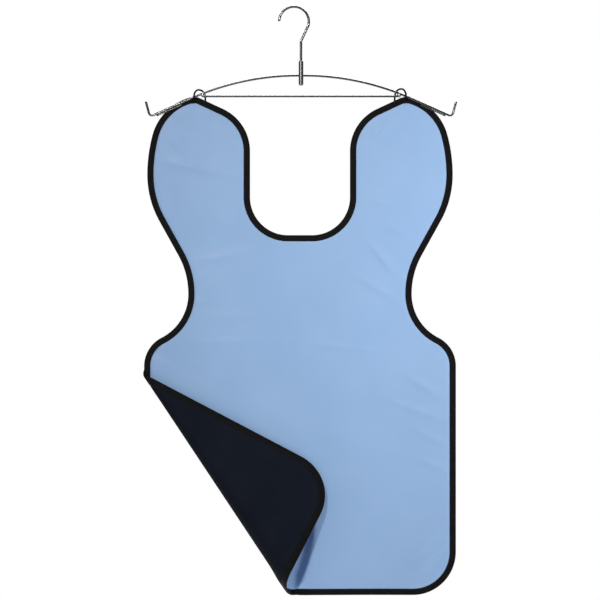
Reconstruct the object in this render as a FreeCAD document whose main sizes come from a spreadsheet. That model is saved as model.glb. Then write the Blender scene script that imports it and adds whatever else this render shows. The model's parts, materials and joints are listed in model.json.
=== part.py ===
"""Dental lead apron hanging on a chrome wire hanger, one lower corner folded up in front.

Frame: millimetres, +Z up, the apron's front faces -Y, the wearer's back +Y.
The origin is the point inside the hook's crown that rests on the rail.
The apron is a flat stack: front cover, two lead-vinyl sheets, back cover, and a bound edge.
Its lower left corner is rolled forwards as a cone. The stack is cut along the cone's lines
into three narrow strips and a flap, and each is turned about its own line through the apex.
"""
import FreeCAD, Part
import math
import os

import Sketcher
from FreeCAD import Placement, Rotation, Vector

DIMENSIONS = [
    # hanger
    ("hook_wire_dia", 3.8),
    ("hook_inside_radius", 20.4),
    ("hook_sweep", 193.0),
    ("hook_back_angle", 14.0),
    ("hook_neck_angle", 25.0),
    ("shank_offset", 10.5),
    ("hook_bend_radius", 5.0),
    ("hook_tip_rounding", 1.3),
    ("shank_end_depth", 96.0),
    ("head_dia", 5.2),
    ("head_height", 2.6),
    ("barrel_top_depth", 78.8),
    ("barrel_length", 37.5),
    ("barrel_dia", 7.0),
    ("barrel_chamfer", 1.0),
    ("running_clearance", 0.1),
    ("end_float", 0.15),
    ("arc_depth", 101.3),
    ("arc_wire_dia", 3.5),
    ("arc_flat_half", 4.0),
    ("arc_radius", 395.0),
    ("arm_slope", 24.0),
    ("arm_end_out", 221.3),
    ("tip_bend_radius", 5.0),
    ("tip_lean", 15.0),
    ("tip_length", 18.0),
    ("tip_rounding", 1.0),
    ("crossbar_dia", 3.2),
    ("crossbar_drop", 31.2),
    ("weld_rise", 4.7),
    ("weld_dia", 6.4),
    ("grip_dia", 2.4),
    ("grip_length", 40.0),
    ("grip_end_gap", 4.0),
    ("grip_pitch", 3.3),
    ("grip_notch_width", 1.3),
    ("grip_notch_depth", 0.45),
    # apron outline, half of it, from the middle of the neck to the middle of the hem
    ("neck_flat_half", 18.0),
    ("neck_corner_radius", 57.0),
    ("neck_side", 69.0),
    ("flare_radius", 70.0),
    ("flare_turn", 65.0),
    ("shoulder_slope", 38.0),
    ("peak_radius", 22.0),
    ("peak_turn", 40.0),
    ("shoulder_radius", 80.0),
    ("lobe_side_radius", 230.0),
    ("lobe_side_turn", 15.0),
    ("lobe_lower_radius", 143.0),
    ("lobe_lower_turn", 29.0),
    ("flank", 59.0),
    ("waist_upper_radius", 120.0),
    ("waist_lower_radius", 73.5),
    ("hip_turn", 63.0),
    ("hip_radius", 48.0),
    ("hem_corner_radius", 65.0),
    ("body_length", 540.5),
    # apron stack, front to back
    ("apron_shift", -1.5),
    ("apron_gap", 0.75),
    ("binding_thickness", 0.7),
    ("binding_width", 9.5),
    ("cover_thickness", 0.5),
    ("lead_thickness", 0.8),
    ("cover_inset", 0.75),
    ("lead_inset", 1.5),
    # folded corner
    ("fold_apex_out", 26.0),
    ("fold_apex_rise", 30.0),
    ("fold_tilt", 53.2),
    ("fold_strip_angle", 2.8),
    ("fold_line_gap", 0.3),
    ("fold_axis_gap", 0.1),
    ("flap_rest_gap", 1.5),
    # hanging loops
    ("loop_dia", 2.5),
    ("loop_span", 17.0),
    ("loop_rise", 11.0),
    ("loop_clearance", 1.9),
    ("loop_sewing_gap", 0.1),
    ("tack_width", 6.0),
    ("tack_height", 4.0),
    ("tack_wrap", 0.4),
    ("tack_offset", 0.5),
]

STRIP_COUNT = 3
FOLD_COUNT = STRIP_COUNT + 1
REGION_NAMES = ["panel", "fold_strip_1", "fold_strip_2", "fold_strip_3", "flap"]
PANEL_SPAN = 100.0       # degrees above level that the panel's sector reaches
FLAP_SPAN = 60.0         # degrees below the last fold line that the flap's sector reaches
FOLD_TURN_LIMITS = (40.0, 60.0)
CUT_MARGIN = 1.0         # how far a cutting solid runs past the faces that it cuts
VOLUME_TOLERANCE = 0.01

doc = FreeCAD.newDocument("LeadApron")
sheet = doc.addObject("Spreadsheet::Sheet", "Sizes")
for row, (alias, value) in enumerate(DIMENSIONS, start=1):
    sheet.set("A%d" % row, alias)
    sheet.set("B%d" % row, str(value))
    sheet.setAlias("B%d" % row, alias)
doc.recompute()

parts = []


def size(alias):
    """The number in one named cell."""
    return float(sheet.get(alias))


def keep(obj, label):
    """List a finished sub-part under its own label."""
    obj.Label = label
    parts.append(obj)
    return obj


def origin_plane(body, role):
    """One of a body's own origin planes."""
    return next(plane for plane in body.Origin.OriginFeatures if plane.Role == role)


def add_sketch(body, name, role, offset=0.0):
    """A sketch on one of the body's origin planes, moved along that plane's normal."""
    sketch = body.newObject("Sketcher::SketchObject", name)
    sketch.AttachmentSupport = [(origin_plane(body, role), "")]
    sketch.MapMode = "FlatFace"
    sketch.AttachmentOffset = Placement(Vector(0, 0, offset), Rotation())
    return sketch


def unit(angle):
    """Direction in a sketch plane for an angle in degrees."""
    return Vector(math.cos(math.radians(angle)), math.sin(math.radians(angle)), 0)


def walk(steps, start, heading):
    """Follow lines and tangent arcs; returns geometry, each piece's end and the last heading."""
    point = Vector(start[0], start[1], 0)
    pieces = []
    ends = []
    for kind, amount, radius in steps:
        if kind == "line":
            finish = point + unit(heading) * amount
            pieces.append(Part.LineSegment(point, finish))
        else:
            side = 90.0 if amount > 0 else -90.0
            centre = point + unit(heading + side) * radius
            first = heading - side
            finish = centre + unit(first + amount) * radius
            low, high = sorted((math.radians(first), math.radians(first + amount)))
            circle = Part.Circle(centre, Vector(0, 0, 1), radius)
            pieces.append(Part.ArcOfCircle(circle, low, high))
            heading += amount
        point = finish
        ends.append((point, heading))
    return pieces, ends


def shoulder_turn():
    """Turn of the outer shoulder arc, so that the lobe's side ends pointing straight down."""
    return 180.0 - size("flare_turn") - size("peak_turn") - size("lobe_side_turn")


OUTLINE = [
    # kind, size or turn, radius: a left turn has its centre outside the cloth
    ("line", "neck_flat_half", None),
    ("left", 90.0, "neck_corner_radius"),
    ("line", "neck_side", None),
    ("right", "flare_turn", "flare_radius"),
    ("line", "shoulder_slope", None),
    ("right", "peak_turn", "peak_radius"),
    ("right", "shoulder_turn", "shoulder_radius"),
    ("right", "lobe_side_turn", "lobe_side_radius"),
    ("right", "lobe_lower_turn", "lobe_lower_radius"),
    ("line", "flank", None),
    ("left", "lobe_lower_turn", "waist_upper_radius"),
    ("left", "hip_turn", "waist_lower_radius"),
    ("right", "hip_turn", "hip_radius"),
]


def turn_value(turn):
    """Degrees of one outline arc."""
    if turn == "shoulder_turn":
        return shoulder_turn()
    return size(turn) if isinstance(turn, str) else turn


def outline_steps(inset):
    """The half outline moved into the cloth by inset, as steps for walk()."""
    steps = []
    for kind, amount, radius in OUTLINE:
        if kind == "line":
            steps.append(("line", size(amount), None))
        elif kind == "left":
            steps.append(("arc", turn_value(amount), size(radius) + inset))
        else:
            steps.append(("arc", -turn_value(amount), size(radius) - inset))
    ends = walk(steps, (0, -inset), 0.0)[1]
    low = size("body_length") - inset
    corner = size("hem_corner_radius") - inset
    side = ends[-1][0].y + low - corner
    steps.append(("line", side, None))
    steps.append(("arc", -90.0, corner))
    steps.append(("line", ends[-1][0].x - corner, None))
    return steps


def outline_point(index):
    """End point of one step of the outer outline."""
    return walk(outline_steps(0.0), (0, 0), 0.0)[1][index][0]


def hip_point():
    """Widest point of the hip, where the apron's straight side begins."""
    return outline_point(len(OUTLINE) - 1)


def peak_point():
    """Highest point of the lobe: where the small arc at its top runs level."""
    before = OUTLINE.index(("right", "peak_turn", "peak_radius")) - 1
    point, heading = walk(outline_steps(0.0), (0, 0), 0.0)[1][before]
    centre = point + unit(heading - 90.0) * size("peak_radius")
    return centre + Vector(0, size("peak_radius"), 0)


def bind(sketch, index, expression):
    """Drive one constraint from the sheet."""
    sketch.setExpression("Constraints[%d]" % index, expression)


def draw_outline(sketch, inset_name):
    """Constrained half outline of the apron, closed along its middle line."""
    inset = size(inset_name) if inset_name else 0.0
    shift = "Sizes.%s" % inset_name if inset_name else "0"
    steps = outline_steps(inset)
    pieces, ends = walk(steps, (0, -inset), 0.0)
    enters = [entry_end(step) for step in steps]
    last = len(pieces) - 1
    start = Vector(0, -inset, 0)
    end = ends[last][0]
    pieces.append(Part.LineSegment(end, start))
    sketch.addGeometry(pieces, False)
    corner, hem, middle = last - 1, last, last + 1
    con = Sketcher.Constraint
    add = sketch.addConstraint
    for index in range(last):
        add(con("Tangent", index, 3 - enters[index], index + 1, enters[index + 1]))
    add(con("Coincident", hem, 2, middle, 1))
    add(con("Coincident", middle, 2, 0, 1))
    add(con("PointOnObject", hem, 2, -2))
    add(con("Horizontal", 0))
    if inset_name:
        add(con("PointOnObject", 0, 1, -2))
        bind(sketch, add(con("DistanceY", 0, 1, -1, 1, inset)), shift)
    else:
        add(con("Coincident", 0, 1, -1, 1))
    bind(sketch, add(con("DistanceY", hem, 2, -1, 1, -end.y)), "Sizes.body_length - " + shift)
    for index, (kind, amount, radius) in enumerate(OUTLINE):
        if kind == "line":
            bind(sketch, add(con("Distance", index, size(amount))), "Sizes." + amount)
            continue
        sign = "+" if kind == "left" else "-"
        value = pieces[index].Radius
        bind(sketch, add(con("Radius", index, value)), "Sizes.%s %s %s" % (radius, sign, shift))
        span = turn_value(amount)
        number = add(con("Angle", index, math.radians(span)))
        if amount == "shoulder_turn":
            rule = "180 deg - (Sizes.flare_turn + Sizes.peak_turn + Sizes.lobe_side_turn) * 1 deg"
            bind(sketch, number, rule)
        elif isinstance(amount, str):
            bind(sketch, number, "Sizes.%s * 1 deg" % amount)
    bind(sketch, add(con("Radius", corner, pieces[corner].Radius)), "Sizes.hem_corner_radius - " + shift)
    add(con("Angle", corner, math.radians(90)))


def entry_end(step):
    """Sketcher's number for the end at which a path enters a step: arcs always run left."""
    kind, amount, _radius = step
    return 2 if kind == "arc" and amount < 0 else 1


def arc_height(distance):
    """Height of the arc wire's centre at a distance from the shank, along its curve and arm."""
    slope = math.radians(size("arm_slope"))
    radius = size("arc_radius")
    along = distance - size("arc_flat_half")
    bend = radius * math.sin(slope)
    if along <= bend:
        return -size("arc_depth") - radius + math.sqrt(radius ** 2 - along ** 2)
    return -size("arc_depth") - radius * (1 - math.cos(slope)) - (along - bend) * math.tan(slope)


def arm_length():
    """Length of one straight arm, from the end of the arc to the bend of its tip."""
    slope = math.radians(size("arm_slope"))
    bend_out = size("arc_flat_half") + size("arc_radius") * math.sin(slope)
    return (size("arm_end_out") - bend_out) / math.cos(slope)


def weld_out():
    """Distance of each weld from the shank: where the arm is weld_rise above the crossbar."""
    slope = math.radians(size("arm_slope"))
    arc_drop = size("arc_radius") * (1 - math.cos(slope))
    bend_out = size("arc_flat_half") + size("arc_radius") * math.sin(slope)
    return bend_out + (size("crossbar_drop") - size("weld_rise") - arc_drop) / math.tan(slope)


def apron_frame():
    """Place of the middle of the neck's lower edge: the lobes' peaks lie level with the arms."""
    peak = peak_point()
    return Vector(size("shank_offset") + size("apron_shift"), 0, arc_height(peak.x) - peak.y)


APRON = apron_frame()
FRONT = size("arc_wire_dia") / 2 + size("apron_gap")
COVER_FRONT = FRONT + size("binding_thickness")
LEAD_FRONT = COVER_FRONT + size("cover_thickness")
LEAD_MIDDLE = LEAD_FRONT + size("lead_thickness")
LEAD_BACK = LEAD_MIDDLE + size("lead_thickness")
COVER_BACK = LEAD_BACK + size("cover_thickness")
BACK = COVER_BACK + size("binding_thickness")


# hook, swivel and hanger


def wire_path(steps, start, heading):
    """Planar path of lines and tangent arcs in the XZ plane, every edge running forwards."""
    edges = []
    point = Vector(start.x, 0, start.y)
    turned = heading
    for (kind, amount, radius), (finish, after) in zip(steps, walk(steps, start, heading)[1]):
        last = Vector(finish.x, 0, finish.y)
        if kind == "line":
            edges.append(Part.LineSegment(point, last).toShape())
        else:
            side = 90.0 if amount > 0 else -90.0
            towards = unit(turned + side)
            outwards = unit(turned - side + amount / 2)
            middle = point + flat(towards + outwards) * radius
            edges.append(Part.Arc(point, middle, last).toShape())
        point = last
        turned = after
    return Part.Wire(edges)


def flat(vector):
    """A sketch vector laid in the XZ plane."""
    return Vector(vector.x, 0, vector.y)


def swept_rod(path, start, along, diameter, end_rounding):
    """Round rod along a path, its far end rounded over."""
    circle = Part.Circle(start, along, diameter / 2)
    rod = path.makePipeShell([Part.Wire([circle.toShape()])], True, False)
    expected = math.pi * diameter ** 2 / 4 * path.Length
    if abs(rod.Volume / expected - 1) > VOLUME_TOLERANCE:
        raise RuntimeError("a swept rod has the wrong volume")
    far = path.OrderedVertexes[-1].Point
    gaps = [edge.CenterOfMass.distanceToPoint(far) for edge in rod.Edges]
    return rod.makeFillet(end_rounding, [rod.Edges[gaps.index(min(gaps))]])


def make_hook():
    """Hook, neck and shank in one wire, with the upset head that keeps it in the barrel."""
    neck = size("hook_neck_angle")
    back = size("hook_back_angle")
    bend = size("hook_bend_radius")
    crown = size("hook_inside_radius") + size("hook_wire_dia") / 2
    start = Vector(size("shank_offset"), -size("shank_end_depth"), 0)
    joining = Vector(crown * math.cos(math.radians(back)), 0, 0)
    joining.y = -size("hook_inside_radius") - crown * math.sin(math.radians(back))
    bends = [("arc", -neck, bend), ("arc", neck - back, bend)]
    short = walk(bends, start, 90.0)[1][-1][0]
    slant = (joining.x - short.x) / math.sin(math.radians(neck))
    shank = joining.y - short.y - slant * math.cos(math.radians(neck))
    steps = [("line", shank, None), ("arc", -neck, bend), ("line", slant, None),
             ("arc", neck - back, bend), ("arc", size("hook_sweep"), crown)]
    path = wire_path(steps, start, 90.0)
    diameter = size("hook_wire_dia")
    rod = doc.addObject("Part::Feature", "hook_rod")
    rod.Shape = swept_rod(path, flat(start), Vector(0, 0, 1), diameter, size("hook_tip_rounding"))
    head = doc.addObject("Part::Cylinder", "hook_head")
    head.setExpression("Radius", "Sizes.head_dia / 2")
    head.setExpression("Height", "Sizes.head_height")
    head.Placement = Placement(flat(start), Rotation())
    whole = doc.addObject("Part::Fuse", "hook_wire")
    whole.Base = rod
    whole.Tool = head
    return keep(whole, "hook_wire")


def make_barrel():
    """Swivel barrel, closed in over the hook's head, with a cross bore for the arc wire."""
    body = doc.addObject("PartDesign::Body", "swivel_barrel")
    body.Placement = Placement(Vector(size("shank_offset"), 0, -size("barrel_top_depth")), Rotation())
    outer = size("barrel_dia") / 2
    length = size("barrel_length")
    neck = size("hook_wire_dia") / 2 + size("running_clearance")
    chamber = size("head_dia") / 2 + size("running_clearance")
    floor = size("shank_end_depth") - size("barrel_top_depth") + size("end_float")
    roof = floor - size("head_height") - 2 * size("end_float")
    chamfer = size("barrel_chamfer")
    corners = [(neck, 0), (outer - chamfer, 0), (outer, -chamfer), (outer, 2 * chamfer - length),
               (outer - chamfer, -length), (0, -length), (0, -floor), (chamber, -floor),
               (chamber, -roof), (neck, -roof)]
    points = [Vector(r, z, 0) for r, z in corners]
    profile = add_sketch(body, "barrel_section", "XZ_Plane")
    for first, second in zip(points, points[1:] + points[:1]):
        profile.addGeometry(Part.LineSegment(first, second), False)
    con = Sketcher.Constraint
    for index in range(len(points)):
        profile.addConstraint(con("Coincident", index, 2, (index + 1) % len(points), 1))
    rules = {2: "Sizes.barrel_dia / 2", 7: "Sizes.head_dia / 2 + Sizes.running_clearance",
             9: "Sizes.hook_wire_dia / 2 + Sizes.running_clearance"}
    for index, rule in rules.items():
        number = profile.addConstraint(con("DistanceX", -1, 1, index, 1, points[index].x))
        bind(profile, number, rule)
    number = profile.addConstraint(con("DistanceY", 5, 1, -1, 1, length))
    bind(profile, number, "Sizes.barrel_length")
    for index in (0, 4, 6, 8):
        profile.addConstraint(con("Horizontal", index))
    for index in (2, 5, 7, 9):
        profile.addConstraint(con("Vertical", index))
    turned = body.newObject("PartDesign::Revolution", "barrel_turning")
    turned.Profile = profile
    turned.ReferenceAxis = (profile, ["V_Axis"])
    doc.recompute()
    bore = add_sketch(body, "cross_bore", "YZ_Plane")
    drop = size("barrel_top_depth") - size("arc_depth")
    bore.addGeometry(Part.Circle(Vector(0, drop, 0), Vector(0, 0, 1), size("arc_wire_dia") / 2), False)
    number = bore.addConstraint(con("Diameter", 0, size("arc_wire_dia")))
    bind(bore, number, "Sizes.arc_wire_dia")
    number = bore.addConstraint(con("DistanceY", 0, 3, -1, 1, -drop))
    bind(bore, number, "Sizes.arc_depth - Sizes.barrel_top_depth")
    pocket = body.newObject("PartDesign::Pocket", "arc_wire_bore")
    pocket.Profile = bore
    pocket.Midplane = True
    pocket.Type = "ThroughAll"
    before = turned.Shape.Volume
    doc.recompute()
    if pocket.Shape.Volume >= before:
        raise RuntimeError("the cross bore cuts nothing")
    return keep(body, "swivel_barrel")


def hanger_place():
    """Top of the arc wire, on the shank's line."""
    return Vector(size("shank_offset"), 0, -size("arc_depth"))


def make_arc_wire():
    """Shoulder wire: a shallow arc, straight arms and turned-up ends, drawn as one half."""
    slope = size("arm_slope")
    rise = slope + 90.0 - size("tip_lean")
    steps = [("line", size("arc_flat_half"), None), ("arc", -slope, size("arc_radius")),
             ("line", arm_length(), None), ("arc", rise, size("tip_bend_radius")),
             ("line", size("tip_length"), None)]
    path = wire_path(steps, Vector(0, 0, 0), 0.0)
    diameter = size("arc_wire_dia")
    half = doc.addObject("Part::Feature", "arc_right_half")
    half.Shape = swept_rod(path, Vector(0, 0, 0), Vector(1, 0, 0), diameter, size("tip_rounding"))
    other = doc.addObject("Part::Mirroring", "arc_left_half")
    other.Source = half
    other.Normal = Vector(1, 0, 0)
    whole = doc.addObject("Part::Fuse", "arc_wire")
    whole.Base = half
    whole.Tool = other
    whole.Refine = True
    whole.Placement = Placement(hanger_place(), Rotation())
    doc.recompute()
    return keep(whole, "arc_wire")


def make_crossbar():
    """Straight bar under the arc."""
    body = doc.addObject("PartDesign::Body", "crossbar")
    place = hanger_place() - Vector(0, 0, size("crossbar_drop"))
    body.Placement = Placement(place, Rotation())
    section = add_sketch(body, "crossbar_section", "YZ_Plane")
    circle = Part.Circle(Vector(0, 0, 0), Vector(0, 0, 1), size("crossbar_dia") / 2)
    section.addGeometry(circle, False)
    con = Sketcher.Constraint
    section.addConstraint(con("Coincident", 0, 3, -1, 1))
    number = section.addConstraint(con("Diameter", 0, size("crossbar_dia")))
    bind(section, number, "Sizes.crossbar_dia")
    pad = body.newObject("PartDesign::Pad", "crossbar_rod")
    pad.Profile = section
    pad.Midplane = True
    pad.Length = 2 * weld_out() + size("crossbar_dia")
    return keep(body, "crossbar")


def make_weld(side, name, wires):
    """Weld bead between the arc wire and one end of the crossbar."""
    middle = -size("arc_depth") - size("crossbar_drop") + size("weld_rise") / 2
    bead = doc.addObject("Part::Sphere", name + "_bead")
    bead.setExpression("Radius", "Sizes.weld_dia / 2")
    place = Vector(size("shank_offset") + side * weld_out(), 0, middle)
    bead.Placement = Placement(place, Rotation())
    for wire in wires:
        cut = doc.addObject("Part::Cut", name + "_over_" + wire.Label)
        cut.Base = bead
        cut.Tool = wire
        bead = cut
    return keep(bead, name)


def make_grip(side, name):
    """Notched rod under the outer end of one arm, which keeps a strap from sliding."""
    body = doc.addObject("PartDesign::Body", name)
    slope = math.radians(size("arm_slope"))
    radius = size("grip_dia") / 2
    below = size("arc_wire_dia") / 2 + radius
    start = arm_length() - size("grip_end_gap") - size("grip_length")
    bend = Vector(size("arc_flat_half") + size("arc_radius") * math.sin(slope), 0,
                  -size("arc_radius") * (1 - math.cos(slope)))
    along = Vector(math.cos(slope), 0, -math.sin(slope))
    down = Vector(-math.sin(slope), 0, -math.cos(slope))
    place = bend + along * start + down * below
    place.x *= side
    tilt = size("arm_slope") if side > 0 else 180.0 - size("arm_slope")
    body.Placement = Placement(hanger_place() + place, Rotation(Vector(0, 1, 0), tilt))
    con = Sketcher.Constraint
    section = add_sketch(body, name + "_section", "YZ_Plane")
    section.addGeometry(Part.Circle(Vector(0, 0, 0), Vector(0, 0, 1), radius), False)
    section.addConstraint(con("Coincident", 0, 3, -1, 1))
    bind(section, section.addConstraint(con("Diameter", 0, 2 * radius)), "Sizes.grip_dia")
    rod = body.newObject("PartDesign::Pad", name + "_rod")
    rod.Profile = section
    rod.setExpression("Length", "Sizes.grip_length")
    doc.recompute()
    notch = add_sketch(body, name + "_notch", "XZ_Plane")
    first = size("grip_pitch") / 2
    wide = size("grip_notch_width")
    floor = radius - size("grip_notch_depth")
    top = radius + CUT_MARGIN
    corners = [(first, floor), (first + wide, floor), (first + wide, top), (first, top)]
    points = [Vector(x, z, 0) for x, z in corners]
    for one, two in zip(points, points[1:] + points[:1]):
        notch.addGeometry(Part.LineSegment(one, two), False)
    for index in range(4):
        notch.addConstraint(con("Coincident", index, 2, (index + 1) % 4, 1))
        notch.addConstraint(con("Horizontal" if index % 2 == 0 else "Vertical", index))
    bind(notch, notch.addConstraint(con("DistanceX", 0, 1, 0, 2, wide)), "Sizes.grip_notch_width")
    bind(notch, notch.addConstraint(con("DistanceX", -1, 1, 0, 1, first)), "Sizes.grip_pitch / 2")
    rule = "Sizes.grip_dia / 2 - Sizes.grip_notch_depth"
    bind(notch, notch.addConstraint(con("DistanceY", -1, 1, 0, 1, floor)), rule)
    notch.addConstraint(con("DistanceY", 1, 1, 1, 2, top - floor))
    groove = body.newObject("PartDesign::Groove", name + "_groove")
    groove.Profile = notch
    groove.ReferenceAxis = (notch, ["H_Axis"])
    count = int((size("grip_length") - first) / size("grip_pitch"))
    row = body.newObject("PartDesign::LinearPattern", name + "_notches")
    row.Originals = [groove]
    row.Direction = (section, ["N_Axis"])
    row.Length = size("grip_pitch") * (count - 1)
    row.Occurrences = count
    body.Tip = row
    doc.recompute()
    if row.Shape.Volume >= rod.Shape.Volume:
        raise RuntimeError("the notches cut nothing")
    return keep(body, name)


# apron


def blank(name, inset_name, front, back):
    """Whole flat sheet of the apron between two depths, as a padded half and its mirror."""
    body = doc.addObject("PartDesign::Body", name)
    body.Placement = Placement(APRON, Rotation())
    outline = add_sketch(body, name + "_outline", "XZ_Plane", -back)
    draw_outline(outline, inset_name)
    half = body.newObject("PartDesign::Pad", name + "_half")
    half.Profile = outline
    half.Length = back - front
    whole = body.newObject("PartDesign::Mirrored", name + "_whole")
    whole.Originals = [half]
    whole.MirrorPlane = (origin_plane(body, "YZ_Plane"), [""])
    body.Tip = whole
    doc.recompute()
    return body


def make_binding_blank():
    """Edge tape folded round the stack: an outer frame with a slot for the layers."""
    outside = blank("binding_outside", None, FRONT, BACK)
    window = blank("binding_window", "binding_width", FRONT - CUT_MARGIN, BACK + CUT_MARGIN)
    slot = blank("binding_slot", "cover_inset", COVER_FRONT, COVER_BACK)
    frame = doc.addObject("Part::Cut", "binding_frame")
    frame.Base = outside
    frame.Tool = window
    tape = doc.addObject("Part::Cut", "binding_tape")
    tape.Base = frame
    tape.Tool = slot
    return tape


def fold_apex():
    """Point of the rolled corner's cone, outside the left edge, in the fold axes' plane."""
    hip = hip_point()
    x = APRON.x - hip.x - size("fold_apex_out")
    z = APRON.z + hip.y + size("fold_apex_rise")
    return Vector(x, FRONT - size("fold_axis_gap"), z)


def fold_angle(index):
    """Angle below level of a fold line on the flat cloth, numbered from 1."""
    return size("fold_tilt") + size("fold_strip_angle") * (index - 0.5)


def fold_line(index):
    """Direction of a fold line on the flat cloth, away from the apex."""
    angle = math.radians(fold_angle(index))
    return Vector(math.cos(angle), 0, -math.sin(angle))


def folded(turn, count):
    """Place of the cloth past a number of folds, each turned forwards by the same angle."""
    place = Placement()
    for index in range(1, count + 1):
        place = place * Placement(Vector(), Rotation(fold_line(index), -turn), fold_apex())
    return place


def flap_edge_points():
    """Points on the front of the flap's outer edge, on the flat cloth."""
    corner = size("hem_corner_radius")
    low = size("body_length")
    side = hip_point().x
    points = []
    for degrees in range(0, 91, 5):
        around = math.radians(degrees)
        x = side - corner + corner * math.cos(around)
        y = -low + corner - corner * math.sin(around)
        points.append(APRON + Vector(-x, FRONT, y))
    return points


def rest_turn():
    """Turn of each fold line at which the flap's edge rests just in front of the panel."""
    low, high = FOLD_TURN_LIMITS
    points = flap_edge_points()
    for _step in range(40):
        turn = (low + high) / 2
        place = folded(turn, FOLD_COUNT)
        gap = FRONT - max(place.multVec(point).y for point in points)
        if gap > size("flap_rest_gap"):
            low = turn
        else:
            high = turn
    return (low + high) / 2


def region(index):
    """Sector of the cloth between two fold lines, held back from them by half the line gap."""
    reach = 2 * size("body_length")
    if index == 0:
        start, span = -fold_angle(1), fold_angle(1) + PANEL_SPAN
    elif index == FOLD_COUNT:
        start, span = -fold_angle(FOLD_COUNT) - FLAP_SPAN, FLAP_SPAN
    else:
        start, span = -fold_angle(index + 1), size("fold_strip_angle")
    sector = doc.addObject("Part::Cylinder", "region_" + REGION_NAMES[index])
    sector.Radius = reach
    sector.Height = 2 * BACK
    sector.Angle = span
    middle = math.radians(start + span / 2)
    back_off = size("fold_line_gap") / 2 / math.sin(math.radians(span / 2))
    apex = fold_apex() + Vector(math.cos(middle), 0, math.sin(middle)) * back_off
    apex.y = 1.5 * BACK
    turn = Rotation(Vector(1, 0, 0), 90) * Rotation(Vector(0, 0, 1), start)
    sector.Placement = Placement(apex, turn)
    return sector


def make_apron():
    """Five layers, each as panel, strips and flap, placed where the rolled corner holds them."""
    layers = [
        ("front_cover", blank("front_cover_blank", "cover_inset", COVER_FRONT, LEAD_FRONT)),
        ("front_lead_sheet", blank("front_lead_blank", "lead_inset", LEAD_FRONT, LEAD_MIDDLE)),
        ("back_lead_sheet", blank("back_lead_blank", "lead_inset", LEAD_MIDDLE, LEAD_BACK)),
        ("back_cover", blank("back_cover_blank", "cover_inset", LEAD_BACK, COVER_BACK)),
        ("edge_binding", make_binding_blank()),
    ]
    turn = rest_turn()
    regions = [region(index) for index in range(FOLD_COUNT + 1)]
    for layer_name, sheet_blank in layers:
        for index, sector in enumerate(regions):
            name = "%s_%s" % (layer_name, REGION_NAMES[index])
            piece = doc.addObject("Part::Common", name)
            piece.Base = sheet_blank
            piece.Tool = sector
            piece.Placement = folded(turn, index)
            keep(piece, name)


# hanging loops


def wire_over_peak(side):
    """Height of the arm's centre above the lobe's peak, where one loop crosses it."""
    peak = peak_point()
    distance = abs(APRON.x + side * peak.x - size("shank_offset"))
    return arc_height(distance) - APRON.z - peak.y


def loop_route(side):
    """Cord route over the hanger: front foot, over the arc wire and the crossbar, back foot."""
    peak = peak_point()
    radius = size("loop_dia") / 2
    sewn = radius + size("loop_sewing_gap")
    ahead = -(size("arc_wire_dia") / 2 + radius + size("loop_clearance"))
    span = size("loop_span")
    rise = size("loop_rise")
    wire = wire_over_peak(side)
    route = [
        # towards the neck from the peak, front to back, above the peak
        (0.5, FRONT - sewn, -0.98 * size("binding_width")),
        (0.4, FRONT - sewn, -0.68 * size("binding_width")),
        (0.0, ahead, wire - 2.6),
        (0.4, ahead + 0.1, wire + 0.45 * rise),
        (0.26 * span, 0.45 * ahead, wire + rise),
        (0.62 * span, -0.35 * ahead, wire + rise - 0.2),
        (0.93 * span, -1.05 * ahead, wire + rise - 4.2),
        (span, BACK + sewn - 1.0, -1.0),
        (span, BACK + sewn, -7.0),
        (span, BACK + sewn, -13.0),
    ]
    top = APRON.z + peak.y
    return [Vector(APRON.x + side * (peak.x - u), y, top + z) for u, y, z in route]


def rounded_path(points, label):
    """Straight runs joined by tangent arcs, each as large as its two runs allow."""
    edges = []
    here = points[0]
    for before, corner, after in zip(points, points[1:], points[2:]):
        arriving = (corner - before).normalize()
        leaving = (after - corner).normalize()
        half_turn = arriving.getAngle(leaving) / 2
        cut = 0.45 * min(before.distanceToPoint(corner), corner.distanceToPoint(after))
        radius = cut / math.tan(half_turn)
        print("%s bend radius %.1f mm" % (label, radius))
        first = corner - arriving * cut
        last = corner + leaving * cut
        inwards = (leaving - arriving).normalize()
        centre = corner + inwards * (radius / math.cos(half_turn))
        edges.append(Part.LineSegment(here, first).toShape())
        edges.append(Part.Arc(first, centre - inwards * radius, last).toShape())
        here = last
    edges.append(Part.LineSegment(here, points[-1]).toShape())
    return Part.Wire(edges)


def make_loop(side, name):
    """Round cord loop, sewn to the front and back of the binding at the lobe's peak."""
    points = loop_route(side)
    path = rounded_path(points, name)
    radius = size("loop_dia") / 2
    circle = Part.Circle(points[0], points[1] - points[0], radius)
    section = Part.Wire([circle.toShape()])
    cord = doc.addObject("Part::Feature", name)
    cord.Shape = path.makePipeShell([section], True, False)
    expected = math.pi * radius ** 2 * path.Length
    print("%s length %.1f mm, volume ratio %.3f" % (name, path.Length, cord.Shape.Volume / expected))
    return keep(cord, name)


def make_tack(side, name, loop):
    """Bar tacks that sew the loop's two feet to the binding, front and back."""
    points = loop_route(side)
    deep = size("loop_dia") + size("tack_wrap")
    pair = []
    for foot, front, tag in ((points[0], FRONT - deep, "front"), (points[-1], BACK, "back")):
        box = doc.addObject("Part::Box", name + "_" + tag)
        box.setExpression("Length", "Sizes.tack_width")
        box.setExpression("Height", "Sizes.tack_height")
        box.Width = deep
        corner = Vector(foot.x - size("tack_width") / 2, front, foot.z - size("tack_offset"))
        box.Placement = Placement(corner, Rotation())
        pair.append(box)
    both = doc.addObject("Part::MultiFuse", name + "_pair")
    both.Shapes = pair
    cut = doc.addObject("Part::Cut", name)
    cut.Base = both
    cut.Tool = loop
    return keep(cut, name)


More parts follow.
